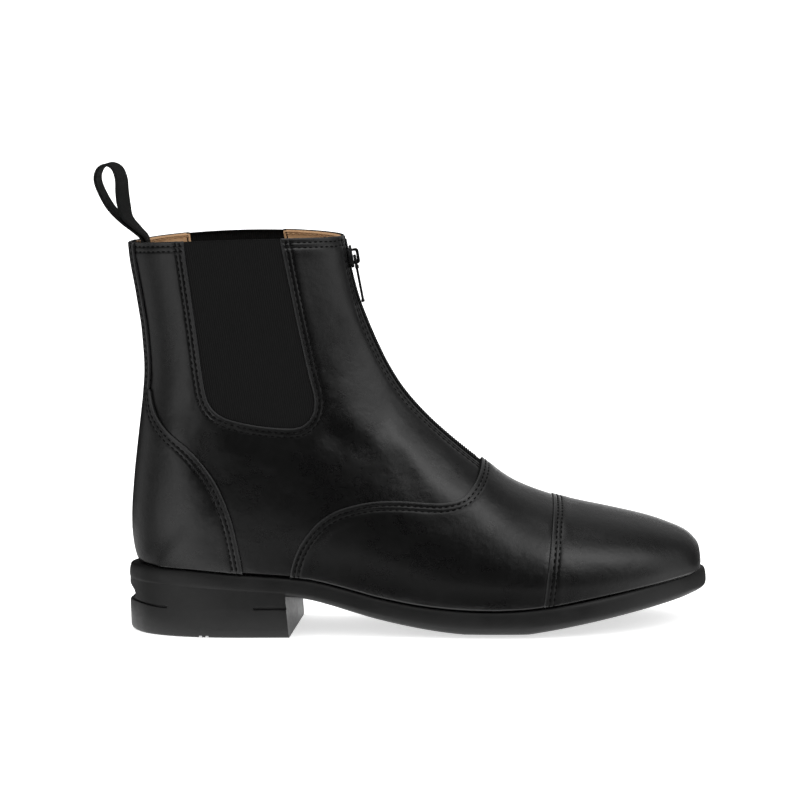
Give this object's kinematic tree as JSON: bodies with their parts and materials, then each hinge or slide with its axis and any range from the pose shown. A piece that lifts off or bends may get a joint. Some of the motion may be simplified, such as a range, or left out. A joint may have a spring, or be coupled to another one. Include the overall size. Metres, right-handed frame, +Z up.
{
  "type": "paddock_boot",
  "caption": "Ankle-high black leather paddock boot, right foot, with front zip, elastic side gussets, straight toe cap, tan lining, pull loop and low-heeled rubber sole.",
  "frame": {"origin": "on the floor under the middle of the heel", "axes": "+X to the toe, +Y to the inner (medial) side of the right foot, +Z up"},
  "size_m": [0.2978, 0.0935, 0.2298],
  "materials": {
    "rubber_black": "matt moulded",
    "lining_tan": "matt",
    "leather_black": "satin, fine grain",
    "elastic_black": "ribbed, matt",
    "nylon_black": "matt",
    "metal_black": "semi-gloss",
    "webbing_black": "woven, matt"
  },
  "bodies": {
    "boot": {"outsole": "rubber_black", "insole": "lining_tan", "upper": "leather_black", "vamp": "leather_black", "toe_cap": "leather_black", "counter": "leather_black", "gusset_lateral": "elastic_black", "gusset_medial": "elastic_black", "zip_chain": "nylon_black", "zip_slider": "metal_black", "pull_loop": "webbing_black"},
    "pull_tab": {"zip_pull": "metal_black"}
  },
  "joints": [
    {"name": "pull_swing", "type": "hinge", "parent": "boot", "child": "pull_tab", "pos_m": [0.05598, 0, 0.18316], "axis": [0, -1, 0], "range_deg": [0, 150]}
  ]
}
